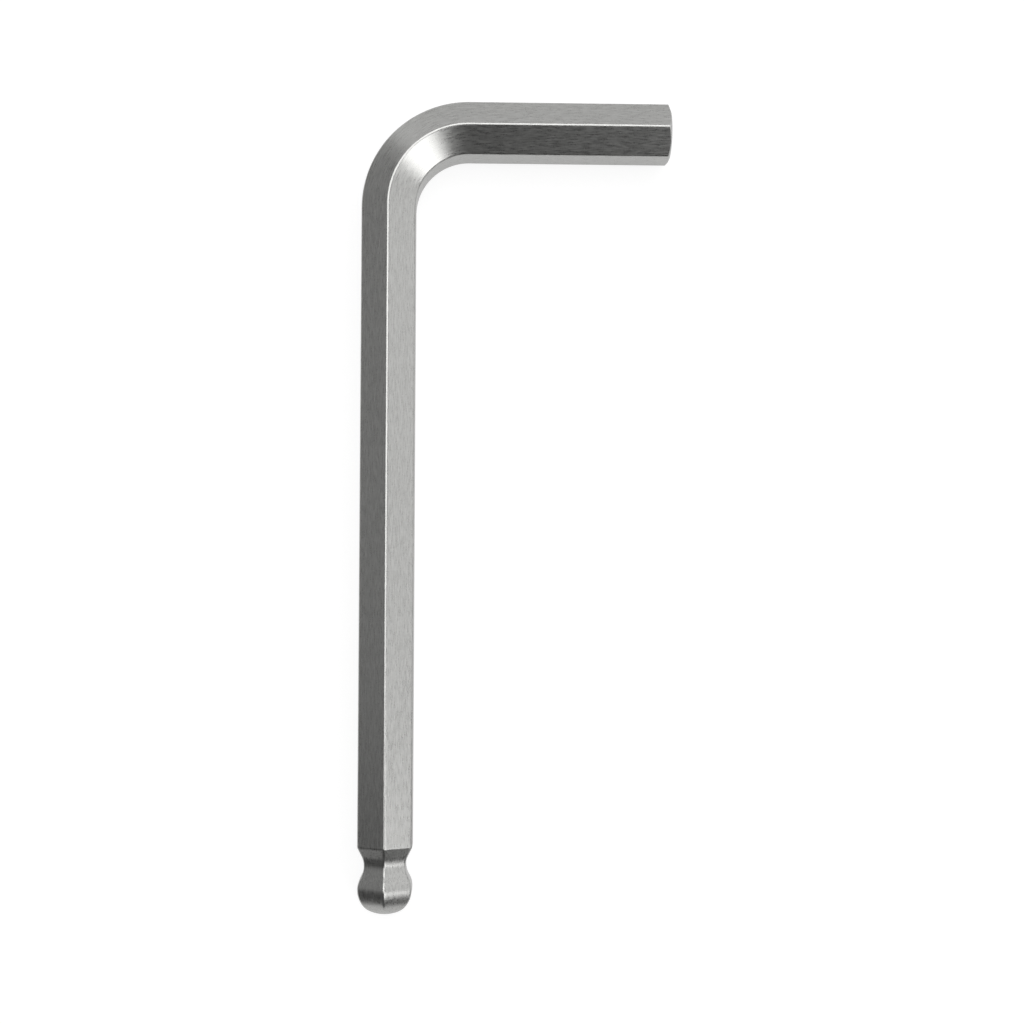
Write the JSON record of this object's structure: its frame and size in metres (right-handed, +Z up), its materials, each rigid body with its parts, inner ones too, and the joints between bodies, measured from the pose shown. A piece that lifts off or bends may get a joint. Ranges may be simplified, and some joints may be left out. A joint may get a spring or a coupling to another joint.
{
  "type": "hex key",
  "caption": "L-shaped hexagonal wrench bent from solid steel bar, with a ball end on the long arm and a chamfered plain end on the short arm.",
  "frame": {"origin": "middle of the space the key takes up, on the surface it lies on", "axes": "+Z up out of the surface; the long arm runs along Y with its ball end at -Y; the short arm points along +X"},
  "size_m": [0.0345, 0.09, 0.0069],
  "materials": {
    "bar_steel": "satin nickel-chrome plated tool steel, fine drawing lines along the bar"
  },
  "bodies": {
    "root": {"hex_key": "bar_steel"}
  },
  "joints": []
}
